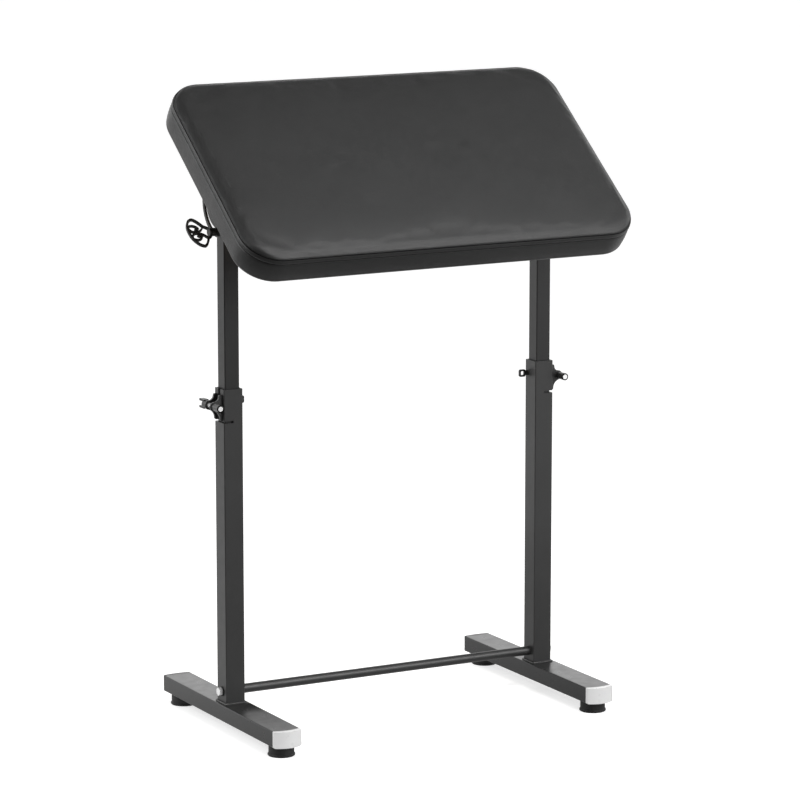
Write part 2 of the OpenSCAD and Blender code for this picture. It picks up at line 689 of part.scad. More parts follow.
// Pad: the foam on the board, and the cover round both, whose return is fixed under the board
module pad_skin(t, z0) {
    rows = len(profile(t, z0));
    polyhedron(skin_points(t, z0), skin_faces(rows, len(pad_outline)), convexity = 4);
}
module pad_foam() color("#d8c9a0") on_board() pad_skin(cover_t + soft_gap, board_t);
module pad_cover() color("#3a3a3a") on_board() difference() {
    pad_skin(0, pad_base);
    pad_skin(cover_t, pad_base + cover_t);
    translate([0, 0, pad_base - over]) linear_extrude(cover_t + 2 * over) inset_2d(cover_return);
}

side(left) foot_tube();  // foot_tube_left
side(right) foot_tube();  // foot_tube_right
side(left) foot_cap_front();  // foot_cap_front_left
side(left) foot_cap_rear();  // foot_cap_rear_left
side(right) foot_cap_front();  // foot_cap_front_right
side(right) foot_cap_rear();  // foot_cap_rear_right
side(left) rubber_foot(-1);  // rubber_foot_front_left
side(left) rubber_foot(1);  // rubber_foot_rear_left
side(right) rubber_foot(-1);  // rubber_foot_front_right
side(right) rubber_foot(1);  // rubber_foot_rear_right
rubber_foot_screws();
rivet_nuts();
side(left) outer_post();  // outer_post_left
side(right) outer_post();  // outer_post_right
side(left) clamp_ears();  // clamp_ears_left
side(right) clamp_ears();  // clamp_ears_right
side(left) guide_bush();  // guide_bush_left
side(right) guide_bush();  // guide_bush_right
cross_bar();
cross_bar_inserts();
cross_bar_bolts();
cross_bar_washers();
side(left) clamp_bolt();  // clamp_bolt_left
side(right) clamp_bolt();  // clamp_bolt_right
side(left) clamp_sleeve();  // clamp_sleeve_left
side(right) clamp_sleeve();  // clamp_sleeve_right
side(left) fork_nut();  // fork_nut_left
side(right) fork_nut();  // fork_nut_right
loop_screw_nuts();
side(left) loop_screw();  // loop_screw_left
side(right) loop_screw();  // loop_screw_right
side(left) inner_post();  // inner_post_left
side(right) inner_post();  // inner_post_right
side(left) post_plug();  // post_plug_left
side(right) post_plug();  // post_plug_right
side(left) post_shoe();  // post_shoe_left
side(right) post_shoe();  // post_shoe_right
pivot_bolts();
pivot_nuts();
side(left) tilt_lock_bolt();  // tilt_lock_bolt_left
side(right) tilt_lock_bolt();  // tilt_lock_bolt_right
tilt_lock_washers();
side(left) tilt_handle();  // tilt_handle_left
side(right) tilt_handle();  // tilt_handle_right
tilt_bracket(left);  // tilt_bracket_left
tilt_bracket(right);  // tilt_bracket_right
bracket_screws();
base_board();
pad_foam();
pad_cover();
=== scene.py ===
import math

import bpy
import numpy as np
from mathutils import Matrix, Vector, noise


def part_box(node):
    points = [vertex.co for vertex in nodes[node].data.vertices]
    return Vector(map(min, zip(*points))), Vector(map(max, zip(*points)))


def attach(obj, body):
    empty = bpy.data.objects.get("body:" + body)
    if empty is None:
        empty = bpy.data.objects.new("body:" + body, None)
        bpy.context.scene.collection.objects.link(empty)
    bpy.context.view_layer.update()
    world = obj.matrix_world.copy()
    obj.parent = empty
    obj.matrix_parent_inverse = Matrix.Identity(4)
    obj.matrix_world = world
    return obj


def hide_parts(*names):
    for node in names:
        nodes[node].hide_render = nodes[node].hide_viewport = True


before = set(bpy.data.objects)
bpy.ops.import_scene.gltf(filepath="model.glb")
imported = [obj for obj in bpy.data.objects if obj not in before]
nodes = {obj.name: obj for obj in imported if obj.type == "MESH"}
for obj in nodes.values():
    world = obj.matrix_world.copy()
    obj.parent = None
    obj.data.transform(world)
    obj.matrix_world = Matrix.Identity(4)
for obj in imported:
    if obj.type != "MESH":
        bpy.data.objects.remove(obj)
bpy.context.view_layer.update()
scene = bpy.context.scene
scene.view_settings.view_transform = "Standard"
MM = 0.001

# places read from the frame: the posts' line and the pivot
post_lo, post_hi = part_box("inner_post_right")
POST_Y = (post_lo.y + post_hi.y) / 2
POST_X = (post_lo.x + post_hi.x) / 2
pivot_lo, pivot_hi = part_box("pivot_nuts")
PIVOT_Z = (pivot_lo.z + pivot_hi.z) / 2
# the board as photographed: the pivot lies behind its middle and below the wooden board's underside
TILT = math.radians(38)
PIVOT_BACK, PIVOT_DROP = 12 * MM, 40 * MM
ON_BOARD = (
    Matrix.Translation((0, POST_Y, PIVOT_Z))
    @ Matrix.Rotation(TILT, 4, "X")
    @ Matrix.Translation((0, -PIVOT_BACK, PIVOT_DROP))
)
# the cushion sits a little askew on its wooden board
ASKEW = Matrix.Rotation(math.radians(0.45), 4, "Z")

# ---------------------------------------------------------------- camera
# fitted to the photo: the lens and sensor in mm, the place in metres, and the angles in degrees
CAMERA_LENS, CAMERA_SENSOR = 166.97, 36
CAMERA_PLACE = (-2.95726, POST_Y - 5.50546, 1.65507)
CAMERA_DOWN, CAMERA_TURN = 10.11, -28.44

camera = bpy.data.objects.new("camera", bpy.data.cameras.new("camera"))
scene.collection.objects.link(camera)
scene.camera = camera
camera.data.sensor_width = CAMERA_SENSOR
camera.data.lens = CAMERA_LENS
camera.location = CAMERA_PLACE
camera.rotation_euler = (math.radians(90 - CAMERA_DOWN), 0, math.radians(CAMERA_TURN))


# ---------------------------------------------------------------- materials
RANGE_INPUTS = ("From Min", "From Max", "To Min", "To Max")
# where the values of a noise texture mostly lie
NOISE_LOW, NOISE_HIGH = 0.3, 0.7


class Tree:
    """A node tree, built by short calls, whose values are numbers or other nodes' outputs."""

    def __init__(self, tree, coordinates):
        self.tree = tree
        self.at = self.add("ShaderNodeTexCoord").outputs[coordinates]

    def add(self, kind, **inputs):
        """A new node, with inputs such as Base_Color."""
        node = self.tree.nodes.new(kind)
        for key, value in inputs.items():
            self.put(node.inputs[key.replace("_", " ")], value)
        return node

    def put(self, socket, value):
        if isinstance(value, bpy.types.NodeSocket):
            self.tree.links.new(value, socket)
        else:
            socket.default_value = value

    def spread(self, value, low, high, out_low=0.0, out_high=1.0):
        """A value between low and high, spread to run between two other numbers."""
        node = self.add("ShaderNodeMapRange", Value=value)
        for key, number in zip(RANGE_INPUTS, (low, high, out_low, out_high)):
            node.inputs[key].default_value = number
        return node.outputs["Result"]

    def math(self, kind, a, b=0.0):
        node = self.add("ShaderNodeMath")
        node.operation = kind
        self.put(node.inputs[0], a)
        self.put(node.inputs[1], b)
        return node.outputs[0]


class Nodes(Tree):
    """A material's node tree."""

    def __init__(self, name):
        self.mat = bpy.data.materials.new(name)
        self.mat.use_nodes = True
        super().__init__(self.mat.node_tree, "Object")
        self.bsdf = self.tree.nodes["Principled BSDF"]

    def set(self, **inputs):
        """Set inputs of the surface, such as Base_Color."""
        for key, value in inputs.items():
            self.put(self.bsdf.inputs[key.replace("_", " ")], value)

    def noise(self, scale, detail=2.0, rough=0.5, at=None):
        node = self.add("ShaderNodeTexNoise", Scale=scale, Detail=detail, Roughness=rough)
        self.put(node.inputs["Vector"], at or self.at)
        return node.outputs["Fac"]

    def voronoi(self, scale, feature="F1", at=None):
        node = self.add("ShaderNodeTexVoronoi", Scale=scale)
        node.feature = feature
        self.put(node.inputs["Vector"], at or self.at)
        return node.outputs["Distance"]

    def wander(self, value, out_low=0.0, out_high=1.0):
        """A noise spread over its usual range, to run between two numbers."""
        return self.spread(value, NOISE_LOW, NOISE_HIGH, out_low, out_high)

    def mix(self, fac, a, b):
        """A blend of two colours."""
        node = self.add("ShaderNodeMix")
        node.data_type = "RGBA"
        self.put(node.inputs[0], fac)
        self.put(node.inputs[6], a)
        self.put(node.inputs[7], b)
        return node.outputs[2]

    def bump(self, height, distance, strength=1.0, under=None):
        """A bump with its depth in metres, over another one."""
        node = self.add("ShaderNodeBump")
        node.inputs["Strength"].default_value = strength
        node.inputs["Distance"].default_value = distance
        self.put(node.inputs["Height"], height)
        if under is not None:
            self.put(node.inputs["Normal"], under)
        return node.outputs["Normal"]

    def stretched(self, x, y, z):
        """Coordinates scaled along each axis, for grain that runs one way."""
        return self.add("ShaderNodeMapping", Scale=(x, y, z), Vector=self.at).outputs["Vector"]


def grey(value, warm=0.0):
    """A linear grey from an sRGB level of 0 to 255, warmed by some levels."""
    out = []
    for shift in (warm, 0, -warm):
        c = (value + shift) / 255
        out.append(c / 12.92 if c <= 0.04045 else ((c + 0.055) / 1.055) ** 2.4)
    return (*out, 1)


def powder_coat(name, level, rough=0.42, shine=0.5):
    """Satin black powder coat: fine orange peel, and a little dust and rubbing."""
    m = Nodes(name)
    cloud = m.noise(9, 4, 0.6)
    fine = m.noise(420, 3, 0.55)
    tone = m.mix(m.spread(cloud, 0.35, 0.65), grey(level - 2), grey(level + 2))
    speck = m.spread(m.voronoi(700), 0.0, 0.1, 0.35, 0.0)
    tone = m.mix(speck, tone, grey(level + 26))
    m.set(Base_Color=tone, Roughness=m.wander(m.noise(60, 3), rough - 0.03, rough + 0.03))
    m.set(Normal=m.bump(fine, 0.0001, 0.4, m.bump(m.noise(140, 2), 0.0003, 0.05)))
    m.set(Specular_IOR_Level=shine)
    return m.mat


def leatherette(name, level):
    """Black leatherette: pebbled grain with fine creases, a soft sheen and a slightly uneven gloss."""
    m = Nodes(name)
    # the grain's cells are bent by up to this length, so that no two are alike
    bend = 1.6 * MM
    warp = m.add("ShaderNodeVectorMath")
    warp.operation = "MULTIPLY_ADD"
    m.put(warp.inputs[0], m.add("ShaderNodeTexNoise", Scale=160, Detail=2, Vector=m.at).outputs["Color"])
    warp.inputs[1].default_value = (bend, bend, bend)
    m.put(warp.inputs[2], m.at)
    pebble = m.voronoi(520, "DISTANCE_TO_EDGE", warp.outputs[0])
    small = m.voronoi(1150, "DISTANCE_TO_EDGE", warp.outputs[0])
    small_grain = m.math("MULTIPLY", m.spread(small, 0.0, 0.2), 0.4)
    grain = m.math("ADD", m.spread(pebble, 0.0, 0.16), small_grain)
    cloud = m.noise(11, 4, 0.55)
    tone = m.mix(m.wander(cloud), grey(level - 2), grey(level + 2))
    # the grain's crevices are painted darker: painted shade in the grain
    tone = m.mix(m.spread(pebble, 0.0, 0.07, 0.3, 0.0), tone, grey(level - 16))
    m.set(Base_Color=tone, Roughness=m.wander(m.noise(34, 4, 0.6), 0.41, 0.46))
    m.set(Normal=m.bump(grain, 0.0002, 0.5, m.bump(m.noise(26, 3), 0.0012, 0.04)))
    m.set(Specular_IOR_Level=0.45)
    return m.mat


def thread(name, level):
    """Twisted sewing thread."""
    m = Nodes(name)
    fibre = m.add("ShaderNodeTexWave", Scale=900, Distortion=2.0, Vector=m.at)
    m.set(Base_Color=m.mix(fibre.outputs["Fac"], grey(level - 8), grey(level + 8)), Roughness=0.7)
    m.set(Normal=m.bump(fibre.outputs["Fac"], 0.0002, 0.6))
    return m.mat


def rubber(name, level):
    """Matt rubber with a little dust."""
    m = Nodes(name)
    dust = m.spread(m.noise(55, 4, 0.65), 0.45, 0.8)
    m.set(Base_Color=m.mix(dust, grey(level), grey(level + 6)))
    m.set(Roughness=m.wander(m.noise(80, 3), 0.55, 0.72))
    m.set(Normal=m.bump(m.noise(700, 3), 0.0001, 0.4))
    return m.mat


def moulded(name, level, rough=0.4, shine=0.5):
    """Moulded plastic, almost even in tone, with a fine texture."""
    m = Nodes(name)
    cloud = m.noise(30, 4)
    m.set(Base_Color=m.mix(cloud, grey(level - 1.5), grey(level + 1.5)))
    m.set(Roughness=m.wander(m.noise(120, 3), rough - 0.04, rough + 0.05))
    m.set(Normal=m.bump(m.noise(900, 3), 0.00008, 0.35))
    m.set(Specular_IOR_Level=shine)
    return m.mat


def plated(name, level, rough=0.3, metallic=1.0):
    """Plated, blackened or bare steel: brushed lightly, with a faint uneven tone."""
    m = Nodes(name)
    lines = m.noise(1.0, 4, 0.6, m.stretched(90, 1600, 1600))
    tone = m.mix(m.noise(210, 4, 0.6), grey(level - 14), grey(level + 8))
    m.set(Base_Color=tone, Metallic=metallic)
    m.set(Roughness=m.wander(lines, rough - 0.07, rough + 0.08))
    m.set(Normal=m.bump(lines, 0.00006, 0.5))
    return m.mat


def plywood(name):
    """Bare birch plywood, its grain along X."""
    m = Nodes(name)
    long_grain = m.noise(1.0, 6, 0.62, m.stretched(7, 170, 170))
    fleck = m.noise(1.0, 3, 0.5, m.stretched(60, 1500, 1500))
    tone = m.mix(m.spread(long_grain, 0.3, 0.72), grey(168, 26), grey(196, 24))
    tone = m.mix(m.spread(fleck, 0.55, 0.8, 0.0, 0.35), tone, grey(128, 26))
    m.set(Base_Color=tone, Roughness=0.72)
    m.set(Normal=m.bump(fleck, 0.0002, 0.4))
    return m.mat


# each with its level of grey (0 to 255), and its roughness, shine or metal where they differ from the usual
COAT = powder_coat("powder_coat_black", 34, 0.4)
# the foot tubes' coat is a darker copy of the same powder coat: painted shade for their sides beside the shaded
# floor
COAT_FOOT_PAINTED_SHADE = powder_coat("powder_coat_black_foot_painted_shade", 20, 0.3)
# the inner posts' and tilt brackets' coat is a darker copy of the same powder coat: painted shade under the pad
COAT_INNER_PAINTED_SHADE = powder_coat("powder_coat_black_inner_painted_shade", 10, 0.4, 0.46)
LEATHER = leatherette("leatherette_black", 21)
# near-black matt: painted shade in the pad's seam and sewn groove, and the black of the guide bushes and the clamp
# bolts' rings
MATT_BLACK_AND_SEAM_SHADE = moulded("matt_black_and_seam_shade", 6, 0.8, 0.15)
THREAD = thread("thread_black", 24)
RUBBER = rubber("rubber_black", 4)
CAP_SILVER = moulded("moulded_silver_grey", 209, 0.3)
CAP_BLACK = moulded("moulded_black", 20)
SLEEVE = plated("sleeve_blackened", 70, 0.34, 0.6)
BLACK_STEEL = plated("blackened_steel", 34, 0.36, 0.3)
ZINC = plated("zinc_plate", 240, 0.34, 0.7)
STEEL = plated("steel_bare", 150, 0.36)
CAST = powder_coat("cast_black", 12, 0.45)
PLY = plywood("plywood")
WELD = powder_coat("weld_coated", 36, 0.34)

# the materials, by how the nodes' names begin
LOOKS = {
    COAT: ["outer_post", "clamp_ears", "cross_bar"],
    COAT_FOOT_PAINTED_SHADE: ["foot_tube"],
    COAT_INNER_PAINTED_SHADE: ["inner_post", "tilt_bracket"],
    CAP_SILVER: ["foot_cap_front"],
    CAP_BLACK: ["foot_cap_rear", "post_plug", "post_shoe"],
    MATT_BLACK_AND_SEAM_SHADE: ["guide_bush"],
    RUBBER: ["rubber_foot"],
    ZINC: ["rubber_foot_screws", "rivet_nuts", "cross_bar_inserts", "cross_bar_bolts", "clamp_bolt"],
    STEEL: ["bracket_screws"],
    BLACK_STEEL: [
        "cross_bar_washers", "tilt_lock_washers", "pivot_bolts", "pivot_nuts", "tilt_lock_bolt", "fork_nut",
        "loop_screw", "loop_screw_nuts",
    ],
    SLEEVE: ["clamp_sleeve"],
    CAST: ["tilt_handle"],
    PLY: ["base_board"],
}


def look_of(name):
    """The material whose longest stem begins a node's name."""
    best = max(
        ((len(stem), mat) for mat, stems in LOOKS.items() for stem in stems if name.startswith(stem)),
        key=lambda pair: pair[0],
        default=(0, None),
    )
    return best[1]


for name, obj in nodes.items():
    mat = look_of(name)
    if mat is None:
        continue
    obj.data.materials.clear()
    obj.data.materials.append(mat)


def new_object(name, mesh, material, body):
    """A piece that only this script makes, on its body."""
    obj = bpy.data.objects.new(name, mesh)
    scene.collection.objects.link(obj)
    mesh.materials.append(material)
    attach(obj, body)


# ---------------------------------------------------------------- pad
# width, depth and the corners' radius at the seam
PAD_W, PAD_D, PAD_R = 738 * MM, 418 * MM, 62 * MM
# heights over the wooden board's underside: the base of the side, the seam and the sewn groove below it
PAD_BASE = -3.3 * MM
SEAM_Z = PAD_BASE + 49 * MM
STITCH_Z = SEAM_Z - 9.6 * MM
# the top panel: its whole rise and how far in it is reached, and the roll at the rim with its height
CROWN, REACH = 12 * MM, 110 * MM
ROLL, ROLL_H = 15 * MM, 8.4 * MM
# the lower edge: its rounding and inset, its lowest height, and the height of the return
EDGE_R, EDGE_IN = 8.5 * MM, 0.15 * MM
BOTTOM = -6.2 * MM
RETURN_Z = -2.9 * MM
# how far the straight runs are drawn in midway, and the band below the seam
DRAW = 0.3 * MM
BAND_DRAW = 0.9 * MM
# in mm: the side's swell, with the height it starts at and its span, and the tuck at the lower edge, with its top
SIDE_SWELL, SWELL_LOW, SWELL_SPAN = 0.9, 5, 36
SIDE_TUCK, TUCK_TOP = 0.9, 16
# unevenness of the foam: the scales and shares of two waves, their height in mm, and where it is reached
LONG_SCALE, LONG_SHARE, SHORT_SCALE, SHORT_SHARE = 9, 0.9, 26, 0.35
FOAM_MM, FOAM_RISE = 0.8, 8 * MM
# puckers beside the seam: their scale, height in mm and reach
PUCKER_SCALE, PUCKER_MM, PUCKER_REACH = 55, 0.25, 6 * MM
# where the top panel's roll begins, in mm from the outline
ROLL_START = 1.2
# how far the cloth step may move the cover, how many frames it runs, and the cover's thickness
CLOTH_CAP = 1.6 * MM
CLOTH_FRAMES = 14
SKIN = 1.2 * MM

# rows of points from the return to the middle of the top panel, in mm
# return: inset, height over RETURN_Z
RETURN_ROWS = ((24, 0.3), (20, 0), (16, -1), (12.5, -2.3))
# lower edge: steps of its quarter circle
EDGE_STEPS = 8
# side: height over PAD_BASE
SIDE_ROWS = (7.5, 9, 11, 13, 17, 21, 25, 29, 32, 34.5)
# sewn groove: height over STITCH_Z, inset
SEWN_ROWS = ((-1.9, -0.1), (-0.8, 0.5), (-0.3, 1.0), (0.3, 1.0), (0.8, 0.4), (1.8, -0.4))
# band between the groove and the seam: height over STITCH_Z, swell
BAND_ROWS = ((3, 0.75), (4.5, 0.9), (6, 0.85), (7.5, 0.6), (8.6, 0.2))
# seam: inset, height over SEAM_Z
SEAM_ROWS = ((0.6, -0.9), (1.6, -0.7), (2.4, -0.2), (2.5, 0.3), (1.9, 0.7))
# top panel: inset
TOP_ROWS = (
    1.5, 1.9, 2.6, 3.6, 5, 7, 8.4, 10, 12, 14.5, 17.5, 21, 25, 30, 36, 43, 52, 63, 76, 91, 108, 128, 150, 175, 198,
)
# rows of the top panel that the cloth step holds too
HELD_ROWS = 4


def pad_outline(step=6 * MM):
    """Points round the pad, anticlockwise, with their outward directions."""
    points = []
    half_w, half_d = PAD_W / 2 - PAD_R, PAD_D / 2 - PAD_R
    runs = [
        ((half_w, half_d), 0, 2 * half_w),
        ((-half_w, half_d), 90, 2 * half_d),
        ((-half_w, -half_d), 180, 2 * half_w),
        ((half_w, -half_d), 270, 2 * half_d),
    ]
    for (cx, cy), start, length in runs:
        n = max(10, round(PAD_R * math.pi / 2 / step))
        for i in range(n):
            a = math.radians(start + 90 * i / n)
            out = (math.cos(a), math.sin(a))
            points.append(((cx + PAD_R * out[0], cy + PAD_R * out[1]), out))
        n = round(length / step)
        a = math.radians(start + 90)
        out = (math.cos(a), math.sin(a))
        along = (-math.sin(a), math.cos(a))
        for i in range(n):
            t = i / n
            reach = PAD_R - DRAW * (1 - (2 * t - 1) ** 2)
            x = cx + reach * out[0] + along[0] * length * t
            y = cy + reach * out[1] + along[1] * length * t
            points.append(((x, y), out))
    return points


OUTLINE = pad_outline()


def inset_ring(inset, z):
    """The pad's outline drawn in by an inset: exact at the rim, and blending to a scaled copy inside."""
    ring = []
    for (x, y), out in OUTLINE:
        near = Vector((x - out[0] * inset, y - out[1] * inset))
        far = Vector((x * (1 - 2 * inset / PAD_W), y * (1 - 2 * inset / PAD_D)))
        t = min(1, max(0, inset / (PAD_R * 0.6)))
        t = t * t * (3 - 2 * t)
        p = near.lerp(far, t)
        ring.append((p.x, p.y, z))
    return ring


def crown(inset):
    """Height of the top panel above the seam: a full roll at the rim, then a gentle swell inwards."""
    roll = max(0.0, 1 - inset / ROLL)
    t = min(1.0, inset / REACH)
    return ROLL_H * (1 - roll ** 2.3) + (CROWN - ROLL_H) * (1 - (1 - t) ** 2.2)


def band(z):
    """How far the side is drawn in at a height, from the stitch line up to the seam."""
    t = min(1, max(0, (z - STITCH_Z) / (SEAM_Z - STITCH_Z)))
    return BAND_DRAW * t ** 1.7


# (inset, height) of each row of points, in metres
rows = []
for inset, dz in RETURN_ROWS:
    rows.append((inset * MM, RETURN_Z + dz * MM))
for i in range(EDGE_STEPS + 1):
    a = math.radians(90 * i / EDGE_STEPS)
    rows.append((EDGE_R * (1 - math.sin(a)) + EDGE_IN, BOTTOM + EDGE_R * (1 - math.cos(a))))
for z in SIDE_ROWS:
    tuck = SIDE_TUCK * max(0, 1 - z / TUCK_TOP) ** 2
    swell = SIDE_SWELL * math.sin(math.pi * (z - SWELL_LOW) / SWELL_SPAN)
    rows.append(((tuck - swell) * MM, PAD_BASE + z * MM))
stitch_start = len(rows)
for dz, dip in SEWN_ROWS:
    rows.append((dip * MM, STITCH_Z + dz * MM))
for dz, swell in BAND_ROWS:
    z = STITCH_Z + dz * MM
    rows.append((band(z) - swell * MM, z))
seam_start = len(rows)
for inset, dz in SEAM_ROWS:
    rows.append((inset * MM, SEAM_Z + dz * MM))
top_start = len(rows)
for inset in TOP_ROWS:
    rows.append((inset * MM, SEAM_Z + crown((inset - ROLL_START) * MM)))


def grid_mesh(name, rings):
    """A mesh over rings of points, closed at the middle of the last ring."""
    n = len(rings[0])
    verts = [p for ring in rings for p in ring]
    faces = []
    for k in range(len(rings) - 1):
        for i in range(n):
            j = (i + 1) % n
            faces.append((k * n + i, k * n + j, (k + 1) * n + j, (k + 1) * n + i))
    verts.append(tuple(np.mean(rings[-1], axis=0)))
    top = len(verts) - 1
    base = (len(rings) - 1) * n
    for i in range(n):
        faces.append((base + i, base + (i + 1) % n, top))
    mesh = bpy.data.meshes.new(name)
    mesh.from_pydata(verts, [], faces)
    mesh.validate()
    return mesh


def place(mesh, matrix):
    """Move a mesh from the board's own frame to its place."""
    mesh.transform(matrix)
    mesh.update()


def flat_noise(co, scale, layer):
    """Noise over the pad's width and depth that is the same at every height."""
    return noise.noise(Vector((co.x * scale, co.y * scale, layer)))


pad_mesh = grid_mesh("pad", [inset_ring(inset, z) for inset, z in rows])
pad_mesh.materials.append(LEATHER)
pad_mesh.materials.append(MATT_BLACK_AND_SEAM_SHADE)
# painted shade: the folds of cover in the seam and the middle of the sewn groove get the near-black material
for face in pad_mesh.polygons:
    row = face.index // len(OUTLINE)
    in_seam = seam_start <= row < top_start - 1
    in_sewing = stitch_start + 1 <= row < stitch_start + 4
    face.material_index = 1 if in_seam or in_sewing else 0
# soft unevenness of the foam under the cover, and small puckers beside the seam
for v in pad_mesh.vertices:
    top = min(1, max(0, (v.co.z - SEAM_Z) / FOAM_RISE))
    wave = flat_noise(v.co, LONG_SCALE, 3.1) * LONG_SHARE + noise.noise(v.co * SHORT_SCALE) * SHORT_SHARE
    v.co.z += wave * MM * top * FOAM_MM
    rim = math.exp(-((v.co.z - SEAM_Z) / PUCKER_REACH) ** 2)
    v.co.z += flat_noise(v.co, PUCKER_SCALE, 7.7) * PUCKER_MM * MM * rim
pad_mesh.shade_smooth()
pad = bpy.data.objects.new("pad", pad_mesh)
scene.collection.objects.link(pad)


def inflate(obj, free_from, cap):
    """Cloth under the foam's push, held below free_from, whose swell and creases stay under the cap."""
    mesh = obj.data
    rest = [v.co.copy() for v in mesh.vertices]
    held = obj.vertex_groups.new(name="held")
    held.add(list(range(free_from)), 1.0, "REPLACE")
    cloth = obj.modifiers.new("cloth", "CLOTH")
    cloth.settings.vertex_group_mass = "held"
    cloth.settings.quality = 6
    cloth.settings.mass = 0.4
    cloth.settings.tension_stiffness = 25
    cloth.settings.compression_stiffness = 25
    cloth.settings.bending_stiffness = 0.6
    cloth.settings.shrink_min = -0.006
    cloth.settings.use_pressure = True
    cloth.settings.uniform_pressure_force = 1.2
    cloth.settings.effector_weights.gravity = 0
    cloth.collision_settings.use_self_collision = False
    for step in range(1, CLOTH_FRAMES + 1):
        scene.frame_set(step)
    soft = obj.evaluated_get(bpy.context.evaluated_depsgraph_get()).to_mesh()
    moved = [v.co.copy() for v in soft.vertices]
    obj.to_mesh_clear()
    obj.modifiers.remove(cloth)
    obj.vertex_groups.remove(held)
    scene.frame_set(1)
    far = 0.0
    for v, old, new in zip(mesh.vertices, rest, moved):
        shift = new - old
        far = max(far, shift.length)
        v.co = old + shift / (1 + shift.length / cap)
    print("cloth moved up to", round(far * 1000, 2), "mm before the cap")


inflate(pad, (top_start + HELD_ROWS) * len(OUTLINE), CLOTH_CAP)
place(pad_mesh, ON_BOARD @ ASKEW)
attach(pad, "board")
solid = pad.modifiers.new("skin", "SOLIDIFY")
solid.thickness = SKIN
solid.offset = -1
bpy.context.view_layer.objects.active = pad
pad.select_set(True)
bpy.ops.object.modifier_apply(modifier="skin")
pad.select_set(False)
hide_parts("pad_foam", "pad_cover")


# ---------------------------------------------------------------- sewing, staples, welds, rings
# the ends of a rod, as a share of its radius
ROD_END = 0.55
# stitches: their pitch and half length, how far in from the outline they lie, their bow and the thread's radius
STITCH_PITCH, STITCH_HALF = 4.4 * MM, 1.6 * MM
STITCH_IN, STITCH_BOW, THREAD_R = 0.5 * MM, 0.35 * MM, 0.42 * MM
# staples: their pitch, half length, leg and wire radius, their inset in mm and height, and how far they turn
STAPLE_PITCH, STAPLE_HALF = 28 * MM, 5 * MM
STAPLE_LEG, WIRE_R = 0.6 * MM, 0.5 * MM
STAPLE_INSET, STAPLE_Z = 20.5, RETURN_Z - 0.3 * MM
STAPLE_TURN = 0.25
# weld beads: half the width of the post; the bead's middle from the post and over the foot tube, how far its back
# lies behind the middle, and how near a corner it starts to turn
POST_HALF = 17.5 * MM
BEAD_OUT, BEAD_UP, BEAD_BACK, BEAD_CORNER = 0.5 * MM, 0.4 * MM, 1.5 * MM, 3 * MM
# the bead's radius, ripple and roughness in mm, the scale of that, and the angles between which it is round
BEAD_R, BEAD_RIPPLE, BEAD_ROUGH, ROUGH_SCALE = 2.25, 0.35, 0.2, 300
BEAD_LOW, BEAD_HIGH = -0.5, math.pi - 0.9
BEAD_SIDES, BEAD_STEPS, RIPPLE_STEPS = 8, 84, 6
# the ring round a clamp bolt's end: (radius, y) in mm from the sleeve's front face
RING_PROFILE = ((4.1, 0.1), (4.1, -1.0), (4.4, -1.5), (6.0, -1.5), (6.3, -1.1), (6.35, 0.1))
RING_STEPS = 40


class Pieces:
    """Many small solids in one mesh."""

    def __init__(self):
        self.verts, self.faces = [], []

    def tube(self, rings, closed=False):
        """A solid over rings of points: closed on itself, or with its two ends filled."""
        n = len(rings[0])
        start = len(self.verts)
        for ring in rings:
            self.verts.extend(tuple(p) for p in ring)
        count = len(rings)
        for k in range(count if closed else count - 1):
            a, b = start + k * n, start + (k + 1) % count * n
            for i in range(n):
                j = (i + 1) % n
                self.faces.append((a + i, a + j, b + j, b + i))
        if not closed:
            self.faces.append([start + i for i in reversed(range(n))])
            self.faces.append([start + (count - 1) * n + i for i in range(n)])

    def rod(self, path, radius, out, sides=6, flat=1.0):
        """A rod along a path, its ends drawn in, with out as the direction across it."""
        rings = []
        angles = [2 * math.pi * k / sides for k in range(sides)]
        up = Vector(out).normalized()
        for i, p in enumerate(path):
            ahead = path[min(i + 1, len(path) - 1)] - path[max(i - 1, 0)]
            side = ahead.cross(up).normalized()
            r = radius * (ROD_END if i in (0, len(path) - 1) else 1)
            rings.append([p + side * r * math.cos(a) + up * r * flat * math.sin(a) for a in angles])
        self.tube(rings)

    def mesh(self, name):
        mesh = bpy.data.meshes.new(name)
        mesh.from_pydata(self.verts, [], self.faces)
        mesh.validate()
        mesh.shade_smooth()
        return mesh


def walk(pitch):
    """Places round the pad at an even pitch, each with its outward direction and its direction along."""
    pts = [Vector((x, y, 0)) for (x, y), _ in OUTLINE]
    outs = [Vector((o[0], o[1], 0)) for _, o in OUTLINE]
    n = len(pts)
    lengths = [(pts[(i + 1) % n] - pts[i]).length for i in range(n)]
    total = sum(lengths)
    count = round(total / pitch)
    result, i, gone = [], 0, 0.0
    for k in range(count):
        at = total * k / count
        while gone + lengths[i] < at:
            gone += lengths[i]
            i += 1
        t = (at - gone) / lengths[i]
        j = (i + 1) % n
        out = outs[i].lerp(outs[j], t).normalized()
        along = (pts[j] - pts[i]).normalized()
        result.append((pts[i].lerp(pts[j], t), out, along))
    return result


def sew():
    """Stitches in the groove below the seam."""
    pieces = Pieces()
    for p, out, along in walk(STITCH_PITCH):
        mid = p + Vector((0, 0, STITCH_Z)) - out * STITCH_IN
        path = [mid + along * STITCH_HALF * t + out * STITCH_BOW * (1 - t * t) for t in (-1, -0.6, 0, 0.6, 1)]
        pieces.rod(path, THREAD_R, out)
    mesh = pieces.mesh("pad_stitching")
    place(mesh, ON_BOARD @ ASKEW)
    new_object("pad_stitching", mesh, THREAD, "board")


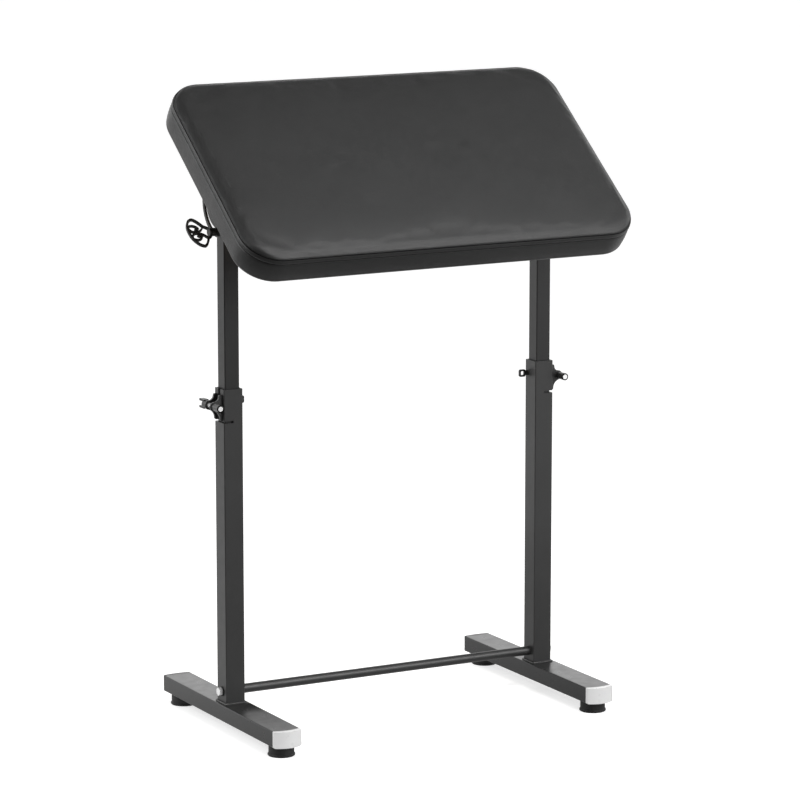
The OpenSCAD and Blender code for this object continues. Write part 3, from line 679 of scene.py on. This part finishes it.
def staple():
    """Staples through the return, each turned and set a little unevenly."""
    pieces = Pieces()
    for k, (p, out, along) in enumerate(walk(STAPLE_PITCH)):
        turn = STAPLE_TURN * math.sin(k * 2.4)
        inset = (STAPLE_INSET + math.sin(k * 1.7)) * MM
        mid = p - out * inset + Vector((0, 0, STAPLE_Z))
        way = (along + out * turn).normalized()
        path = []
        for t in (-1, -0.85, 0, 0.85, 1):
            leg = STAPLE_LEG if abs(t) == 1 else 0
            path.append(mid + way * STAPLE_HALF * t + Vector((0, 0, leg)))
        pieces.rod(path, WIRE_R, (0, 0, 1), flat=0.6)
    mesh = pieces.mesh("pad_staples")
    place(mesh, ON_BOARD @ ASKEW)
    new_object("pad_staples", mesh, ZINC, "board")


def weld(side, post_x):
    """A rippled bead round a post's foot."""
    foot_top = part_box("foot_tube_right")[1].z
    reach = POST_HALF + BEAD_OUT
    angles = np.linspace(BEAD_LOW, BEAD_HIGH, BEAD_SIDES)
    corners = [(1, 1), (-1, 1), (-1, -1), (1, -1)]
    up = Vector((0, 0, 1))
    rings = []
    for k in range(4):
        (ax, ay), (bx, by) = corners[k], corners[(k + 1) % 4]
        for i in range(BEAD_STEPS):
            t = i / BEAD_STEPS
            x = post_x + reach * (ax + (bx - ax) * t)
            y = POST_Y + reach * (ay + (by - ay) * t)
            center = Vector((x, y, foot_top + BEAD_UP))
            out = Vector((ax + bx, ay + by, 0)).normalized()
            near = min(t, 1 - t) * 2 * POST_HALF
            if near < BEAD_CORNER:
                other = Vector((ax, ay, 0)) if t < 0.5 else Vector((bx, by, 0))
                out = out.lerp(other.normalized(), 1 - near / BEAD_CORNER).normalized()
            ripple = (0.5 + 0.5 * math.sin(i * 2 * math.pi / RIPPLE_STEPS)) ** 0.6
            r = (BEAD_R + BEAD_RIPPLE * ripple + BEAD_ROUGH * noise.noise(center * ROUGH_SCALE)) * MM
            ring = [center + (out * math.cos(a) + up * math.sin(a)) * r for a in angles]
            rings.append(ring + [center - out * BEAD_BACK])
    bead = Pieces()
    bead.tube(rings, closed=True)
    new_object("weld_" + side, bead.mesh("weld_" + side), WELD, "base")


def clamp_ring(side):
    """A black ring round the bright end of a clamp bolt."""
    lo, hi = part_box("clamp_sleeve_" + side)
    middle = Vector(((lo.x + hi.x) / 2, lo.y, (lo.z + hi.z) / 2))
    rings = []
    for k in range(RING_STEPS):
        a = 2 * math.pi * k / RING_STEPS
        spoke = Vector((math.cos(a), 0, math.sin(a)))
        rings.append([middle + spoke * r * MM + Vector((0, y * MM, 0)) for r, y in RING_PROFILE])
    collar = Pieces()
    collar.tube(rings, closed=True)
    new_object("clamp_ring_" + side, collar.mesh("clamp_ring_" + side), MATT_BLACK_AND_SEAM_SHADE, "base")


sew()
staple()
for side, sign in (("left", -1), ("right", 1)):
    weld(side, sign * POST_X)
for side in ("left", "right"):
    clamp_ring(side)


# ---------------------------------------------------------------- stage and light
WHITE = (1, 1, 1, 1)
CARD_BLACK = (0.004, 0.004, 0.004, 1)
# the floor: half its width, its tone for other rays and for gloss, and its glow for the camera
FLOOR_HALF = 30
FLOOR_TONE, FLOOR_GLOSS_TONE = (0.72, 0.72, 0.72, 1), (0.09, 0.09, 0.09, 1)
FLOOR_GLOW = 0.6
# the floor's glow for gloss: dim round a spot before the stand, and brighter with the distance from there
DIM_SPOT = (0.3, -0.8, 0)
SPOT_NEAR, SPOT_FAR, GLOW_NEAR, GLOW_FAR = 0.4, 1.5, 0.2, 0.88
# and the share of it that stays with the distance to the left front
DIM_WAY = (-0.85, -0.53, 0)
WAY_START, WAY_END, SHARE_START, SHARE_END = 0.5, 0.9, 1.0, 0.05
# the world's light for diffuse rays, and for gloss a bright horizon under a dimmer ceiling
WORLD_LIGHT = 0.55
SKY_LOW, SKY_HIGH, HORIZON, CEILING = 0.25, 0.6, 1.75, 0.3


def sheet(name, corners):
    """A flat object from its four corners."""
    mesh = bpy.data.meshes.new(name)
    mesh.from_pydata(corners, [], [(0, 1, 2, 3)])
    obj = bpy.data.objects.new(name, mesh)
    scene.collection.objects.link(obj)
    return obj


def stage_plane():
    """The white floor, whose glow differs for the camera and for gloss."""
    s = FLOOR_HALF
    floor = sheet("floor", [(-s, -s, 0), (s, -s, 0), (s, s, 0), (-s, s, 0)])
    m = Nodes("floor_white")
    m.set(Roughness=0.9, Specular_IOR_Level=0.1, Emission_Color=WHITE)
    path = m.add("ShaderNodeLightPath")
    gloss = path.outputs["Is Glossy Ray"]
    m.set(Base_Color=m.mix(gloss, FLOOR_TONE, FLOOR_GLOSS_TONE))
    measures = []
    for kind, vector in (("DISTANCE", DIM_SPOT), ("DOT_PRODUCT", DIM_WAY)):
        node = m.add("ShaderNodeVectorMath")
        node.operation = kind
        m.put(node.inputs[0], m.at)
        m.put(node.inputs[1], vector)
        measures.append(node.outputs["Value"])
    away, along = measures
    glow = m.spread(away, SPOT_NEAR, SPOT_FAR, GLOW_NEAR, GLOW_FAR)
    share = m.spread(along, WAY_START, WAY_END, SHARE_START, SHARE_END)
    glossy = m.math("MULTIPLY", gloss, m.math("MULTIPLY", glow, share))
    seen = m.math("MULTIPLY", path.outputs["Is Camera Ray"], FLOOR_GLOW)
    m.set(Emission_Strength=m.math("ADD", seen, glossy))
    floor.data.materials.append(m.mat)


def studio():
    """The world: an even light for diffuse rays, a sky for gloss, and plain white for the camera."""
    world = bpy.data.worlds.new("studio")
    scene.world = world
    world.use_nodes = True
    world.node_tree.nodes.clear()
    w = Tree(world.node_tree, "Generated")
    path = w.add("ShaderNodeLightPath")
    to_camera, gloss = path.outputs["Is Camera Ray"], path.outputs["Is Glossy Ray"]
    height = w.add("ShaderNodeSeparateXYZ", Vector=w.at).outputs["Z"]
    sky = w.spread(height, SKY_LOW, SKY_HIGH, HORIZON, CEILING)
    blend = w.add("ShaderNodeMix")
    blend.data_type = "FLOAT"
    w.put(blend.inputs[0], w.math("MAXIMUM", to_camera, gloss))
    w.put(blend.inputs[2], WORLD_LIGHT)
    w.put(blend.inputs[3], w.math("MAXIMUM", sky, to_camera))
    back = w.add("ShaderNodeBackground", Color=WHITE, Strength=blend.outputs[0])
    w.add("ShaderNodeOutputWorld", Surface=back.outputs["Background"])


stage_plane()
studio()


def softbox(name, place, aim, size, power):
    """A rectangular area light at a place, turned to what it aims at."""
    data = bpy.data.lights.new(name, "AREA")
    data.shape = "RECTANGLE"
    data.size, data.size_y = size
    data.energy = power
    obj = bpy.data.objects.new(name, data)
    scene.collection.objects.link(obj)
    obj.location = place
    obj.rotation_euler = (Vector(aim) - Vector(place)).to_track_quat("-Z", "Y").to_euler()


softbox("key", (-3.0, 0.9, 2.1), (0, 0, 0.8), (1.6, 1.6), 50)
softbox("front", (1.7, -3.0, 2.4), (0, 0, 0.8), (1.3, 1.7), 72)
softbox("near_top", (0.25, -0.95, 2.3), (0.0, -0.05, 0.95), (1.8, 0.6), 23)


def flag(name, place, size):
    """A black card that only gloss sees, standing upright and facing the stand."""
    w, h = size[0] / 2, size[1] / 2
    card = sheet(name, [(-w, 0, -h), (w, 0, -h), (w, 0, h), (-w, 0, h)])
    card.location = place
    card.rotation_euler = (0, 0, math.atan2(-place[0], place[1]))
    m = Nodes(name)
    m.set(Base_Color=CARD_BLACK, Roughness=1.0, Specular_IOR_Level=0.0)
    card.data.materials.append(m.mat)
    card.visible_camera = False
    card.visible_diffuse = False
    card.visible_shadow = False


# the first draws the dark lines along the tubes' rounded edges, the second dims the front of the left foot tube
flag("flag", (-1.6, -1.6, 1.1), (3.0, 2.1))
flag("flag_behind", (-0.035, 0.35, 0.11), (0.19, 0.15))
